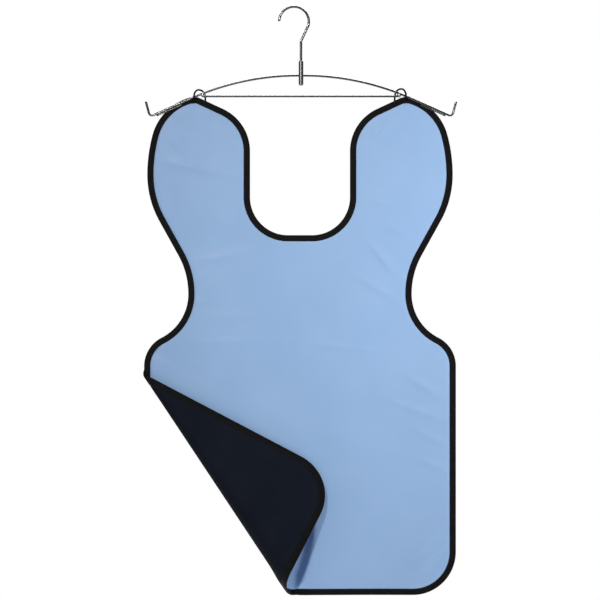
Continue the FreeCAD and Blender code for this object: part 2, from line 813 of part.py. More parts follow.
def check_and_write():
    """Stop on any failed object or bad solid, then write one STEP file for each sub-part."""
    doc.recompute()
    for obj in doc.Objects:
        if "Invalid" in obj.State or "Error" in obj.State:
            raise RuntimeError("%s did not compute" % obj.Label)
    for obj in parts:
        if obj.Shape.isNull() or not obj.Shape.isValid() or not obj.Shape.Solids:
            raise RuntimeError("%s has no valid solid" % obj.Label)
    os.makedirs("parts", exist_ok=True)
    for obj in parts:
        obj.Shape.exportStep("parts/%s.step" % obj.Label)
        print("%-34s solids %d volume %.1f" % (obj.Label, len(obj.Shape.Solids), obj.Shape.Volume))


def print_joints():
    """Places and directions of the joints, for whoever describes the motion."""
    turn = rest_turn()
    apex = fold_apex()
    print("fold turn %.4f apex %.3f %.3f %.3f" % (turn, apex.x, apex.y, apex.z))
    for index in range(1, FOLD_COUNT + 1):
        line = folded(turn, index - 1).Rotation.multVec(fold_line(index))
        print("fold_%d axis %.6f %.6f %.6f" % (index, line.x, line.y, line.z))
    print("swing height %.3f" % swing_height())
    print("apron frame %.3f %.3f %.3f front %.3f back %.3f" % (*APRON, FRONT, BACK))
    print("peak x %.3f z %.3f" % (peak_point().x, APRON.z + peak_point().y))


def swing_height():
    """Height at which the loops bear on the arc wire."""
    peak = peak_point()
    return (arc_height(peak.x) + arc_height(peak.x - 0.93 * size("loop_span"))) / 2


make_hook()
make_barrel()
arc_wire = make_arc_wire()
crossbar = make_crossbar()
make_weld(-1, "left_weld", [arc_wire, crossbar])
make_weld(1, "right_weld", [arc_wire, crossbar])
make_grip(-1, "left_grip_rod")
make_grip(1, "right_grip_rod")
make_apron()
left_loop = make_loop(-1, "left_cord_loop")
right_loop = make_loop(1, "right_cord_loop")
make_tack(-1, "left_loop_tacks", left_loop)
make_tack(1, "right_loop_tacks", right_loop)
check_and_write()
print_joints()
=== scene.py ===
"""Looks of the lead apron on its hanger: cloth, edge tape, stitches, cord loops and chrome wire.

Metres, in the CAD frame: +Z up, the apron faces -Y. Every layer of the apron is drawn flat, as
points (x, depth, z), and roll() then lays it in the hanging shape with the corner rolled forwards.
"""

import json
import math

import bmesh
import bpy
import numpy as np
from mathutils import Matrix, Vector, geometry, kdtree


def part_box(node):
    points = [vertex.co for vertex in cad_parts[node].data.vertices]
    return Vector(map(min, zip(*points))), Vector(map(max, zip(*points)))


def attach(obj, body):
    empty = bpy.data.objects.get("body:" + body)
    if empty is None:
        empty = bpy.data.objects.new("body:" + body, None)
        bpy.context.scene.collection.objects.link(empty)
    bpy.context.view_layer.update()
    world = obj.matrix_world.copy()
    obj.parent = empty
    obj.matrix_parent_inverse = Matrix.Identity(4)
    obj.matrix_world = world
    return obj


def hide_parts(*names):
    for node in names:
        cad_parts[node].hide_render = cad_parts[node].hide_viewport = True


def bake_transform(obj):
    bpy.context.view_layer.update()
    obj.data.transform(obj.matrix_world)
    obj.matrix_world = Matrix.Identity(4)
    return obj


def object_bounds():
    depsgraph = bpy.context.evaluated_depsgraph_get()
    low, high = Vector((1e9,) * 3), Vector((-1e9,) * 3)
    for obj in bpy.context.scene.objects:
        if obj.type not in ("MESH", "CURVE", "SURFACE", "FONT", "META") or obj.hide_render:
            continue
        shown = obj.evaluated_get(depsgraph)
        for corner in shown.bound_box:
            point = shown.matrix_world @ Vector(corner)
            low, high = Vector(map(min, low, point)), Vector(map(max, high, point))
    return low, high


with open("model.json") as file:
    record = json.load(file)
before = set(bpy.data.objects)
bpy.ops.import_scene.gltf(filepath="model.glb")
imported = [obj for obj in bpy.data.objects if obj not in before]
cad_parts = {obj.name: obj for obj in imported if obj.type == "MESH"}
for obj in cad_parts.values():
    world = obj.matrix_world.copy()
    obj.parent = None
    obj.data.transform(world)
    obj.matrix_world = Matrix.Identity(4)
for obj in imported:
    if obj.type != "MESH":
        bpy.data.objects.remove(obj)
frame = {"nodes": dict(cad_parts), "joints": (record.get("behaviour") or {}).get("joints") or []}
CAD_LOW, CAD_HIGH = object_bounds()

# the flat apron's half outline, from the middle of the neck to the hip: kind, length or turn, radius
OUTLINE = [
    ("line", 0.018, None),
    ("left", 90.0, 0.057),
    ("line", 0.069, None),
    ("right", 65.0, 0.070),
    ("line", 0.038, None),
    ("right", 40.0, 0.022),
    ("right", 60.0, 0.080),
    ("right", 15.0, 0.230),
    ("right", 29.0, 0.143),
    ("line", 0.059, None),
    ("left", 29.0, 0.120),
    ("left", 63.0, 0.0735),
    ("right", 63.0, 0.048),
]
BODY_LENGTH = 0.5405
HEM_RADIUS = 0.065
# lengths of the long side and half the hem: they only set how many points lie along them
SIDE_LENGTH = 0.279
HALF_HEM_LENGTH = 0.169

TAPE_WIDTH = 0.0095
TAPE_THICKNESS = 0.0007
COVER_THICKNESS = 0.0005
COVER_INSET = 0.0009
LEAD_INSET = 0.0016

FOLD_TILT = 53.2
STRIP_ANGLE = 2.8
TURN_COUNT = 4
TURNS_END = FOLD_TILT + TURN_COUNT * STRIP_ANGLE
FACETS_PER_TURN = 12


# where the apron hangs and how its corner is rolled, read from the frame


def unit(angle):
    """Direction on the flat cloth for an angle in degrees above level."""
    return np.array([math.cos(math.radians(angle)), math.sin(math.radians(angle))])


def trace(inset, spacing):
    """Half outline moved into the cloth by inset; every inset gives the same number of points."""
    point, heading = np.array([0.0, -inset]), 0.0
    found = [point]

    def line(length, nominal):
        nonlocal point
        steps = max(1, round(nominal / spacing))
        start = point
        for step in range(1, steps + 1):
            point = start + unit(heading) * length * step / steps
            found.append(point)

    def arc(turn, radius, nominal):
        nonlocal point, heading
        steps = max(2, round(math.radians(abs(turn)) * nominal / spacing))
        side = 90.0 if turn > 0 else -90.0
        centre = point + unit(heading + side) * radius
        for step in range(1, steps + 1):
            point = centre + unit(heading - side + turn * step / steps) * radius
            found.append(point)
        heading += turn

    for kind, amount, radius in OUTLINE:
        if kind == "line":
            line(amount, amount)
        elif kind == "left":
            arc(amount, radius + inset, radius)
        else:
            arc(-amount, radius - inset, radius)
    line(BODY_LENGTH + point[1] - HEM_RADIUS, SIDE_LENGTH)
    arc(-90.0, HEM_RADIUS - inset, HEM_RADIUS)
    line(point[0], HALF_HEM_LENGTH)
    return np.array(found)


def outline(inset, spacing=0.004):
    """Whole closed outline, clockwise from the middle of the neck, about the apron's own origin."""
    half = trace(inset, spacing)
    other = half[-2:0:-1] * [-1, 1]
    return np.concatenate([half, other])


def apron_origin():
    """Middle of the neck's lower edge in the frame: the peaks are the panel's highest points."""
    low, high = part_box("edge_binding_panel")
    peak = outline(0.0, 0.001)[:, 1].max()
    return np.array([(low.x + high.x) / 2, high.z - peak])


def joint(name):
    """One joint of the frame."""
    return next(j for j in frame["joints"] if j["name"] == name)


def fold_line(index):
    """Direction of one fold line on the flat cloth, numbered from 1."""
    across = unit(-(FOLD_TILT + STRIP_ANGLE * (index - 0.5)))
    return Vector((across[0], 0, across[1]))


def rest_turn():
    """Angle of each fold at rest: how far the second joint's axis lies from its flat line."""
    about = fold_line(1)
    flat = fold_line(2)
    now = Vector(joint("fold_2")["axis"])
    flat = (flat - about * flat.dot(about)).normalized()
    now = (now - about * now.dot(about)).normalized()
    return flat.angle(now)


ORIGIN = apron_origin()
APEX = Vector(joint("fold_1")["pos_m"])
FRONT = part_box("edge_binding_panel")[0].y
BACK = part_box("edge_binding_panel")[1].y
TOP_OF_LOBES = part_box("edge_binding_panel")[1].z
MIDDLE = (FRONT + BACK) / 2
TURN = rest_turn()
STEP = Matrix.Rotation(-TURN, 3, fold_line(1)) @ Matrix.Rotation(math.radians(STRIP_ANGLE), 3, "Y")
CONE_AXIS, CONE_TURN = STEP.to_quaternion().to_axis_angle()
BODIES = ["apron", *["fold_strip_%d" % number for number in range(1, TURN_COUNT)], "flap"]


def smooth(low, high, value):
    """Smooth step from 0 at low to 1 at high."""
    share = np.clip((value - low) / (high - low), 0, 1)
    return share * share * (3 - 2 * share)


def polar(flat):
    """Angle below level, in degrees, and distance of flat points about the roll's apex."""
    across = flat[:, 0] - APEX.x
    down = APEX.z - flat[:, 2]
    return np.degrees(np.arctan2(down, across)), np.hypot(across, down)


# crease: middle (x, z) from the apron's origin, direction in degrees, half length, half width,
# and how far it stands forwards
CREASES = [
    # left lobe
    (-0.157, 0.101, -12.0, 0.045, 0.0050, 0.0017),
    (-0.185, 0.135, -50.0, 0.020, 0.0050, 0.0008),
    # left of the waist
    (-0.116, -0.032, 12.0, 0.038, 0.0050, 0.0014),
    (-0.148, -0.100, 18.0, 0.012, 0.0045, 0.0010),
    # across the cloth at the hips' level
    (-0.090, -0.122, 1.0, 0.050, 0.0070, 0.0008),
    (-0.098, -0.160, 2.0, 0.060, 0.0055, 0.0014),
    (0.074, -0.170, -6.0, 0.060, 0.0055, 0.0015),
    # right lobe
    (0.124, 0.158, 47.0, 0.022, 0.0050, 0.0017),
    (0.164, 0.121, 13.0, 0.034, 0.0060, 0.0014),
    (0.122, 0.049, -20.0, 0.020, 0.0055, 0.0012),
    (0.145, 0.007, -27.0, 0.020, 0.0055, 0.0012),
    # right of the waist
    (0.124, -0.035, -50.0, 0.032, 0.0050, 0.0019),
    (0.116, -0.080, -31.0, 0.032, 0.0055, 0.0014),
    # down the right side, below the hip
    (0.184, -0.226, -32.0, 0.028, 0.0055, 0.0015),
    (0.167, -0.260, -19.0, 0.042, 0.0055, 0.0015),
    (0.194, -0.302, -27.0, 0.022, 0.0050, 0.0015),
    (0.197, -0.344, -22.0, 0.022, 0.0050, 0.0015),
    (0.182, -0.391, 0.0, 0.030, 0.0060, 0.0012),
    (0.131, -0.415, -2.0, 0.070, 0.0055, 0.0014),
    # right corner of the hem
    (0.190, -0.461, 47.0, 0.026, 0.0050, 0.0022),
    (0.194, -0.481, 36.0, 0.026, 0.0048, 0.0022),
    (0.187, -0.496, 30.0, 0.020, 0.0045, 0.0017),
]
# slow waves: height, width across, length down and phase
WAVES = [
    (0.0016, 0.061, 0.40, 0.6),
    (0.0012, 0.034, -0.21, 2.2),
]
BOTTOM_SET_BACK = 0.002
# hollow beside the root of the roll: its bank starts at this place and bends away downwards
BANK_TOP = (0.0234, -0.419)
BANK_BEND = 1.95
HOLLOW_DEPTH = 0.0105


def crease(across, height, shape):
    """Forward relief of one soft crease."""
    x, z, angle, long, wide, rise = shape
    along = unit(angle)
    beside = unit(angle + 90.0)
    u = (across - x) * along[0] + (height - z) * along[1]
    v = (across - x) * beside[0] + (height - z) * beside[1]
    return rise * np.exp(-(u / long) ** 2 - (v / wide) ** 2)


def drape(flat):
    """How far the cloth stands back from its plane: slow waves and a few soft creases."""
    across = flat[:, 0] - ORIGIN[0]
    height = flat[:, 2] - ORIGIN[1]
    waves = 0.0
    for rise, wide, long, phase in WAVES:
        waves = waves + rise * np.sin(across / wide + height / long + phase)
    depth = waves * (1 - smooth(-0.18, 0.02, height)) + BOTTOM_SET_BACK * smooth(0.02, -0.30, height)
    for shape in CREASES:
        depth = depth - crease(across, height, shape)
    angle, radius = polar(flat)
    under_flap = smooth(12.0, 27.0, angle) * (1 - smooth(0.40, 0.52, radius))
    peaks = smooth(0.155, 0.190, height)
    return depth * (1 - under_flap) * (1 - peaks)


def hollow(flat):
    """How far the cloth sinks beside the root of the roll, where it starts to bend."""
    below = BANK_TOP[1] - (flat[:, 2] - ORIGIN[1])
    bank = BANK_TOP[0] - BANK_BEND * np.maximum(below, 0) ** 2
    beyond = bank - (flat[:, 0] - ORIGIN[0])
    floor = smooth(0.0, 0.0090, beyond) * (1 - smooth(0.026, 0.070, beyond))
    run = smooth(-0.008, 0.038, below) * (1 - 0.6 * smooth(0.092, 0.120, below))
    return HOLLOW_DEPTH * floor * run * (1 - smooth(54.0, 60.0, polar(flat)[0]))


def turned(vectors, angles):
    """Vectors turned about the cone's axis, each by its own angle."""
    axis = np.array(CONE_AXIS)
    cosine = np.cos(angles)[:, None]
    sine = np.sin(angles)[:, None]
    along = (vectors @ axis)[:, None] * axis
    return vectors * cosine + np.cross(axis, vectors) * sine + along * (1 - cosine)


def roll(flat):
    """Flat points (x, depth, z) in the hanging shape: panel, cone and flap."""
    angle, radius = polar(flat)
    sunk = hollow(flat)
    depth = flat[:, 1] - APEX.y + sunk
    placed = flat + np.stack([0 * depth, drape(flat) + sunk, 0 * depth], axis=1)
    start = unit(-FOLD_TILT)
    rise = radius[:, None] * np.array([start[0], 0, start[1]]) + depth[:, None] * [0, 1, 0]
    share = np.clip((angle - FOLD_TILT) / STRIP_ANGLE, 0, TURN_COUNT)
    cone = turned(rise, share * CONE_TURN) + APEX
    beyond = radius[:, None] * np.stack(
        [np.cos(np.radians(angle - TURNS_END + FOLD_TILT)), 0 * angle,
         -np.sin(np.radians(angle - TURNS_END + FOLD_TILT))], axis=1)
    beyond = beyond + depth[:, None] * [0, 1, 0]
    flap = turned(beyond, np.full(len(flat), TURN_COUNT * CONE_TURN)) + APEX
    result = np.where((angle > FOLD_TILT)[:, None], cone, placed)
    return np.where((angle > TURNS_END)[:, None], flap, result)


# meshes

# the cone is meshed along lines from near its apex to past the hem
RAY_START = 0.030
RAY_END = 0.500
EDGE_CLEARANCE = 0.001
# the even grid stops this many degrees short of the cone
GRID_MARGIN = 0.5


def inside(points, loop):
    """Whether flat points lie inside a closed outline."""
    found = np.zeros(len(points), bool)
    for first, second in zip(loop, np.roll(loop, -1, axis=0)):
        spans = (first[1] > points[:, 1]) != (second[1] > points[:, 1])
        rise = second[1] - first[1]
        if abs(rise) < 1e-12:
            continue
        reach = first[0] + (points[:, 1] - first[1]) * (second[0] - first[0]) / rise
        found ^= spans & (points[:, 0] < reach)
    return found


def place(loop):
    """An outline about the apron's origin, as (x, z) points of the frame."""
    return loop + ORIGIN


def ray(angle, near, far, spacing):
    """Points on the flat cloth along one line through the roll's apex."""
    steps = np.arange(near, far, spacing)
    return np.array([APEX.x, APEX.z]) + steps[:, None] * unit(-angle)


def facet_angles():
    """Angles of the lines that the cone is faceted along, cut lines included."""
    return np.linspace(FOLD_TILT, TURNS_END, TURN_COUNT * FACETS_PER_TURN + 1)


def pattern(inset, rings, spacing):
    """Flat triangles of a sheet, cut along the roll's lines: (x, z) points and triangles."""
    edge = place(outline(inset))
    points = [edge]
    links = [(i, (i + 1) % len(edge)) for i in range(len(edge))]
    count = len(edge)
    for ring in rings:
        points.append(place(outline(ring)))
        count += len(points[-1])
    within = place(outline(inset + EDGE_CLEARANCE))
    for index, angle in enumerate(facet_angles()):
        line = ray(angle, RAY_START, RAY_END, spacing)
        if index % FACETS_PER_TURN:
            line = line[inside(line, within)]
        else:
            links += [(count + i, count + i + 1) for i in range(len(line) - 1)]
        points.append(line)
        count += len(line)
    step = np.array([spacing, spacing * math.sqrt(0.75)])
    first = np.floor(edge.min(axis=0) / step).astype(int)
    last = np.ceil(edge.max(axis=0) / step).astype(int)
    grid = np.array([(column + row % 2 / 2, row) for row in range(first[1], last[1])
                     for column in range(first[0], last[0])]) * step
    angle = polar(np.stack([grid[:, 0], 0 * grid[:, 0], grid[:, 1]], axis=1))[0]
    clear = (angle < FOLD_TILT - GRID_MARGIN) | (angle > TURNS_END + GRID_MARGIN)
    innermost = place(outline((rings[-1] if rings else inset) + 0.6 * spacing))
    points.append(grid[inside(grid, innermost) & clear])
    flat = [tuple(p) for p in np.concatenate(points)]
    made, _edges, faces = geometry.delaunay_2d_cdt(flat, links, [], 1, 1e-7)[:3]
    made = np.array([tuple(p) for p in made])
    faces = np.array([f for f in faces if len(f) == 3])
    middle = made[faces].mean(axis=1)
    return made, faces[inside(middle, edge)]


def edge_distance(points):
    """Distance of flat (x, z) points from the apron's outline."""
    dense = place(outline(0.0, 0.001))
    tree = kdtree.KDTree(len(dense))
    for index, point in enumerate(dense):
        tree.insert((point[0], point[1], 0), index)
    tree.balance()
    return np.array([tree.find((x, z, 0))[2] for x, z in points])


def region_of(flat, triangles):
    """Which part of the roll each triangle belongs to: 0 panel, 1 to 4 the cone, 5 the flap."""
    angle = polar(flat[triangles].mean(axis=1))[0]
    return np.clip(np.floor((angle - FOLD_TILT) / STRIP_ANGLE) + 1, 0, TURN_COUNT + 1).astype(int)


def corner_normals(points, triangles, groups=None):
    """Smooth normals at each triangle's corners, shared only within one group of faces."""
    if groups is None:
        groups = np.zeros(len(triangles), int)
    corners = points[triangles]
    sides = np.roll(corners, -1, axis=1) - corners
    area = np.cross(sides[:, 0], -sides[:, 2])
    flat = area / np.maximum(np.linalg.norm(area, axis=1), 1e-15)[:, None]
    ahead = sides / np.maximum(np.linalg.norm(sides, axis=2), 1e-12)[:, :, None]
    behind = -np.roll(ahead, 1, axis=1)
    weight = np.arccos(np.clip((ahead * behind).sum(axis=2), -1, 1))
    keys = triangles + groups[:, None] * len(points)
    total = np.zeros(((groups.max() + 1) * len(points), 3))
    for corner in range(3):
        np.add.at(total, keys[:, corner], flat * weight[:, corner, None])
    normals = total[keys]
    return normals / np.maximum(np.linalg.norm(normals, axis=2), 1e-15)[:, :, None]


def build_mesh(name, points, triangles, normals, facts, material):
    """One object from some of a layer's triangles, with its normals and per-point facts."""
    used, faces = np.unique(triangles, return_inverse=True)
    mesh = bpy.data.meshes.new(name)
    mesh.from_pydata(points[used].tolist(), [], faces.reshape(-1, 3).tolist())
    mesh.polygons.foreach_set("use_smooth", np.ones(len(triangles), bool))
    for title, values in facts.items():
        layer = mesh.attributes.new(title, "FLOAT_VECTOR", "POINT")
        layer.data.foreach_set("vector", values[used].astype(np.float32).ravel())
    mesh.normals_split_custom_set(normals.reshape(-1, 3).tolist())
    mesh.materials.append(material)
    piece = bpy.data.objects.new(name, mesh)
    bpy.context.scene.collection.objects.link(piece)
    return piece


def hang(pieces):
    """Of a layer's six pieces, let the panel follow the apron and the flap follow the flap; the four
    turn pieces stay where roll() laid them.
    """
    for index, piece in pieces.items():
        if index == 0:
            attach(piece, "apron")
        elif index == TURN_COUNT + 1:
            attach(piece, "flap")
        else:
            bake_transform(piece)


def replace_nodes(pieces, layers):
    """Hide the CAD nodes that a layer's pieces stand for: the pieces of the turns share three nodes."""
    for index, piece in pieces.items():
        region = ["panel", *BODIES[1:-1], BODIES[-2], "flap"][index]
        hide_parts(*["%s_%s" % (layer, region) for layer in layers])


def region_name(index):
    """Last part of a piece's name."""
    return {0: "panel", TURN_COUNT + 1: "flap"}.get(index, "turn_%d" % index)


def cut_pieces(name, points, triangles, normals, regions, facts, material):
    """One object for each part of the roll that a layer's triangles lie in."""
    pieces = {}
    for index in sorted(set(regions)):
        chosen = regions == index
        title = "%s_%s" % (name, region_name(index))
        pieces[index] = build_mesh(title, points, triangles[chosen], normals[chosen], facts, material)
    return pieces


def split_layer(name, flat, triangles, regions, facts, material):
    """Roll a whole layer and cut it into its pieces, with normals that run across the cuts."""
    points = roll(flat)
    normals = corner_normals(points, triangles)
    return cut_pieces(name, points, triangles, normals, regions, dict(facts, flat=flat), material)


def walls(triangles, count):
    """Faces that join the two sides of a sheet along the edges of some of its triangles."""
    edges = np.concatenate([triangles[:, [0, 1]], triangles[:, [1, 2]], triangles[:, [2, 0]]])
    key = np.sort(edges, axis=1)
    _, first, uses = np.unique(key, axis=0, return_index=True, return_counts=True)
    rim = edges[first[uses == 1]]
    a, b = rim[:, 0], rim[:, 1]
    return np.concatenate([np.stack([b, a, a + count], 1), np.stack([b, a + count, b + count], 1)])


def make_sheet(name, sheet, front, back, material):
    """A closed sheet between two depths, given for each point of its flat pattern."""
    made, faces = sheet
    count = len(made)
    face_on = np.stack([made[:, 0], front, made[:, 1]], axis=1)
    behind = np.stack([made[:, 0], back, made[:, 1]], axis=1)
    flat = np.concatenate([face_on, behind])
    regions = region_of(flat, faces)
    names = sorted(set(regions))
    sides = [walls(faces[regions == index], count) for index in names]
    triangles = np.concatenate([faces, faces[:, ::-1] + count, *sides])
    groups = np.repeat([0, 1, 2], [len(faces), len(faces), sum(len(s) for s in sides)])
    wall_region = np.repeat(names, [len(s) for s in sides])
    whole = np.concatenate([regions, regions, wall_region])
    points = roll(flat)
    normals = corner_normals(points, triangles, groups)
    flip = np.sign(normals[0, 0] @ face_normals(points, triangles[:1])[0])
    return cut_pieces(name, points, triangles, normals * flip, whole, {"flat": flat}, material)


def face_normals(points, triangles):
    """Plain face normals."""
    corners = points[triangles]
    area = np.cross(corners[:, 1] - corners[:, 0], corners[:, 2] - corners[:, 0])
    return area / np.linalg.norm(area, axis=1)[:, None]


# materials


# a Mix node names its colour sockets like its other ones, so these are found by number
MIX_COLOUR_A = 6
MIX_COLOUR_B = 7
MIX_COLOUR_OUT = 2


class Shader:
    """A material's node tree with short ways to add to it."""

    def __init__(self, name, color, roughness, metallic=0.0):
        self.material = bpy.data.materials.new(name)
        self.material.use_nodes = True
        self.tree = self.material.node_tree
        self.bsdf = self.tree.nodes["Principled BSDF"]
        self.set("Base Color", (*color, 1.0))
        self.set("Roughness", roughness)
        self.set("Metallic", metallic)

    def set(self, socket, value):
        """One of the shader's own sockets."""
        self.bsdf.inputs[socket].default_value = value

    def add(self, kind, **values):
        """A node, with inputs given by name and properties given in lower case."""
        node = self.tree.nodes.new(kind)
        for key, value in values.items():
            if hasattr(node, key):
                setattr(node, key, value)
            else:
                node.inputs[key.replace("_", " ").title()].default_value = value
        return node

    def link(self, source, target):
        """Join an output to an input."""
        self.tree.links.new(source, target)

    def flat_place(self):
        """The point's place on the flat, uncut cloth."""
        node = self.add("ShaderNodeAttribute", attribute_name="flat")
        return node.outputs["Vector"]

    def spot(self):
        """The point's place on the object."""
        return self.add("ShaderNodeTexCoord").outputs["Object"]

    def stretched(self, vector, scale):
        """A place with each axis scaled."""
        node = self.add("ShaderNodeMapping")
        node.inputs["Scale"].default_value = scale
        self.link(vector, node.inputs["Vector"])
        return node.outputs["Vector"]

    def noise(self, vector, scale, detail=2.0):
        """Cloudy noise, 0 to 1."""
        node = self.add("ShaderNodeTexNoise", scale=scale, detail=detail)
        self.link(vector, node.inputs["Vector"])
        return node.outputs["Fac"]

    def wave(self, vector, direction, scale):
        """Parallel ribs."""
        node = self.add("ShaderNodeTexWave", bands_direction=direction)
        node.inputs["Scale"].default_value = scale
        self.link(vector, node.inputs["Vector"])
        return node.outputs["Fac"]

    def product(self, first, second):
        """Two values multiplied."""
        node = self.add("ShaderNodeMath", operation="MULTIPLY")
        for socket, value in zip(node.inputs, (first, second)):
            self.link(value, socket)
        return node.outputs["Value"]

    def ramp(self, value, low, high):
        """Colour between two colours by a value from 0 to 1."""
        node = self.add("ShaderNodeMix", data_type="RGBA")
        node.inputs[MIX_COLOUR_A].default_value = (*low, 1.0)
        node.inputs[MIX_COLOUR_B].default_value = (*high, 1.0)
        self.link(value, node.inputs["Factor"])
        return node.outputs[MIX_COLOUR_OUT]

    def spread(self, value, low, high):
        """A value from 0 to 1 moved into another range."""
        node = self.add("ShaderNodeMapRange")
        node.inputs["From Min"].default_value = 0.3
        node.inputs["From Max"].default_value = 0.7
        node.inputs["To Min"].default_value = low
        node.inputs["To Max"].default_value = high
        self.link(value, node.inputs["Value"])
        return node.outputs["Result"]

    def bump(self, height, distance, strength=1.0, under=None):
        """Surface relief, laid over another relief if one is given."""
        node = self.add("ShaderNodeBump")
        node.inputs["Strength"].default_value = strength
        node.inputs["Distance"].default_value = distance
        self.link(height, node.inputs["Height"])
        if under is not None:
            self.link(under, node.inputs["Normal"])
        return node.outputs["Normal"]


def blue_vinyl():
    """Satin vinyl-faced cloth: faint weave, soft mottling, a low grain."""
    look = Shader("blue_vinyl", (0.290, 0.448, 0.700), 0.46)
    place_on = look.flat_place()
    clouds = look.noise(place_on, 14.0, 3.0)
    tone = look.ramp(look.spread(clouds, 0.0, 1.0), (0.272, 0.430, 0.682), (0.294, 0.450, 0.706))
    look.link(tone, look.bsdf.inputs["Base Color"])
    grain = look.noise(place_on, 1500.0, 2.0)
    look.link(look.spread(look.noise(place_on, 60.0, 3.0), 0.42, 0.50), look.bsdf.inputs["Roughness"])
    weave = look.product(look.wave(place_on, "X", 320.0), look.wave(place_on, "Z", 320.0))
    relief = look.bump(weave, 0.00004, 0.35)
    relief = look.bump(grain, 0.00005, 0.30, relief)
    relief = look.bump(look.noise(place_on, 38.0, 2.0), 0.0012, 0.18, relief)
    look.link(relief, look.bsdf.inputs["Normal"])
    look.set("Specular IOR Level", 0.42)
    return look.material


def navy_nylon():
    """Near-black navy woven backing."""
    look = Shader("navy_nylon", (0.0075, 0.0100, 0.0170), 0.80)
    place_on = look.flat_place()
    weave = look.product(look.wave(place_on, "X", 260.0), look.wave(place_on, "Z", 260.0))
    clouds = look.noise(place_on, 22.0, 3.0)
    tone = look.ramp(look.spread(clouds, 0.0, 1.0), (0.0068, 0.0090, 0.0150), (0.0088, 0.0112, 0.0188))
    look.link(tone, look.bsdf.inputs["Base Color"])
    relief = look.bump(weave, 0.00012, 0.6)
    relief = look.bump(look.noise(place_on, 900.0, 2.0), 0.0001, 0.3, relief)
    look.link(relief, look.bsdf.inputs["Normal"])
    look.link(look.spread(weave, 0.80, 0.66), look.bsdf.inputs["Roughness"])
    look.set("Specular IOR Level", 0.06)
    return look.material


def black_tape():
    """Folded edge tape with fine ribs across it and a faint uneven tone, lighter in patches."""
    look = Shader("black_tape", (0.0055, 0.0050, 0.0055), 0.7)
    along = look.add("ShaderNodeAttribute", attribute_name="tape").outputs["Vector"]
    ribs = look.wave(along, "X", 420.0)
    threads = look.wave(along, "Y", 700.0)
    relief = look.bump(ribs, 0.00012, 0.55)
    relief = look.bump(threads, 0.00005, 0.4, relief)
    look.link(relief, look.bsdf.inputs["Normal"])
    tone = look.ramp(look.spread(look.noise(look.flat_place(), 120.0, 3.0), 0.0, 1.0),
                     (0.0048, 0.0042, 0.0048), (0.0075, 0.0066, 0.0068))
    look.link(tone, look.bsdf.inputs["Base Color"])
    look.link(look.spread(ribs, 0.66, 0.52), look.bsdf.inputs["Roughness"])
    look.set("Specular IOR Level", 0.10)
    return look.material


def black_thread():
    """Twisted polyester sewing thread."""
    look = Shader("black_thread", (0.006, 0.006, 0.007), 0.5)
    twist = look.wave(look.flat_place(), "DIAGONAL", 900.0)
    look.link(look.bump(twist, 0.0001, 0.7), look.bsdf.inputs["Normal"])
    look.link(look.spread(twist, 0.38, 0.52), look.bsdf.inputs["Roughness"])
    return look.material


def black_cord():
    """Round braided cord."""
    look = Shader("black_cord", (0.005, 0.005, 0.006), 0.7)
    fibres = look.noise(look.stretched(look.spot(), (1.0, 1.0, 0.25)), 3500.0, 2.0)
    look.link(look.bump(fibres, 0.0001, 0.5), look.bsdf.inputs["Normal"])
    look.link(look.spread(fibres, 0.5, 0.7), look.bsdf.inputs["Roughness"])
    look.set("Specular IOR Level", 0.10)
    return look.material


def lead_vinyl():
    """Grey lead-loaded vinyl sheet."""
    look = Shader("lead_vinyl", (0.045, 0.045, 0.05), 0.7)
    grain = look.noise(look.flat_place(), 700.0, 4.0)
    look.link(look.bump(grain, 0.0002, 0.4), look.bsdf.inputs["Normal"])
    tone = look.ramp(look.spread(grain, 0.0, 1.0), (0.038, 0.038, 0.042), (0.058, 0.058, 0.063))
    look.link(tone, look.bsdf.inputs["Base Color"])
    return look.material


def plated(name, color, low, high, scale, depth):
    """Bright plated steel: faint drawing marks and a slightly uneven polish."""
    look = Shader(name, color, low, metallic=1.0)
    marks = look.noise(look.spot(), scale, 3.0)
    look.link(look.spread(marks, low, high), look.bsdf.inputs["Roughness"])
    look.link(look.bump(marks, depth, 0.25), look.bsdf.inputs["Normal"])
    return look.material


# the apron's layers

COVER_RINGS = [0.0050, 0.0086, 0.0100, 0.0112, 0.0126, 0.0150, 0.0190]
COVER_SPACING = 0.0045
LAYER_GAP = 0.00002

# how far the tape's rounded fold reaches in from the edge
TAPE_BEND = 0.0022
TAPE_SPACING = 0.0022
PUCKER_RISE = 0.00007
PUCKER_PITCH = 0.00115
# a face of the tape this many degrees past the cone still counts as near it
CUT_MARGIN = 3.0

STITCH_INSET = 0.0080
STITCH_PITCH = 0.0033
STITCH_LENGTH = 0.0027
STITCH_RADIUS = 0.00024
STITCH_SINK = 0.0001
STITCH_DEPTH = 0.00005


def puff(distance):
    """How far the padded stack stands up beside the tape's seam, by distance from the edge."""
    return 0.00055 * smooth(0.0090, 0.0125, distance) - 0.00015 * smooth(0.014, 0.030, distance)


def make_covers(blue, navy, lead):
    """Front cover, lead core and back cover, all from the same flat pattern."""
    sheet = pattern(COVER_INSET, COVER_RINGS, COVER_SPACING)
    rise = puff(edge_distance(sheet[0]))
    front = FRONT + TAPE_THICKNESS - rise
    back = BACK - TAPE_THICKNESS + rise
    face = make_sheet("blue_cloth", sheet, front, front + COVER_THICKNESS, blue)
    rear = make_sheet("navy_cloth", sheet, back - COVER_THICKNESS, back, navy)
    hang(face)
    hang(rear)
    replace_nodes(face, ["front_cover"])
    replace_nodes(rear, ["back_cover"])
    core_sheet = pattern(LEAD_INSET, COVER_RINGS, COVER_SPACING)
    rise = puff(edge_distance(core_sheet[0]))
    skin = TAPE_THICKNESS + COVER_THICKNESS + LAYER_GAP
    core = make_sheet("lead_core", core_sheet, FRONT + skin - rise, BACK - skin + rise, lead)
    hang(core)
    replace_nodes(core, ["front_lead_sheet", "back_lead_sheet"])
    return face, rear


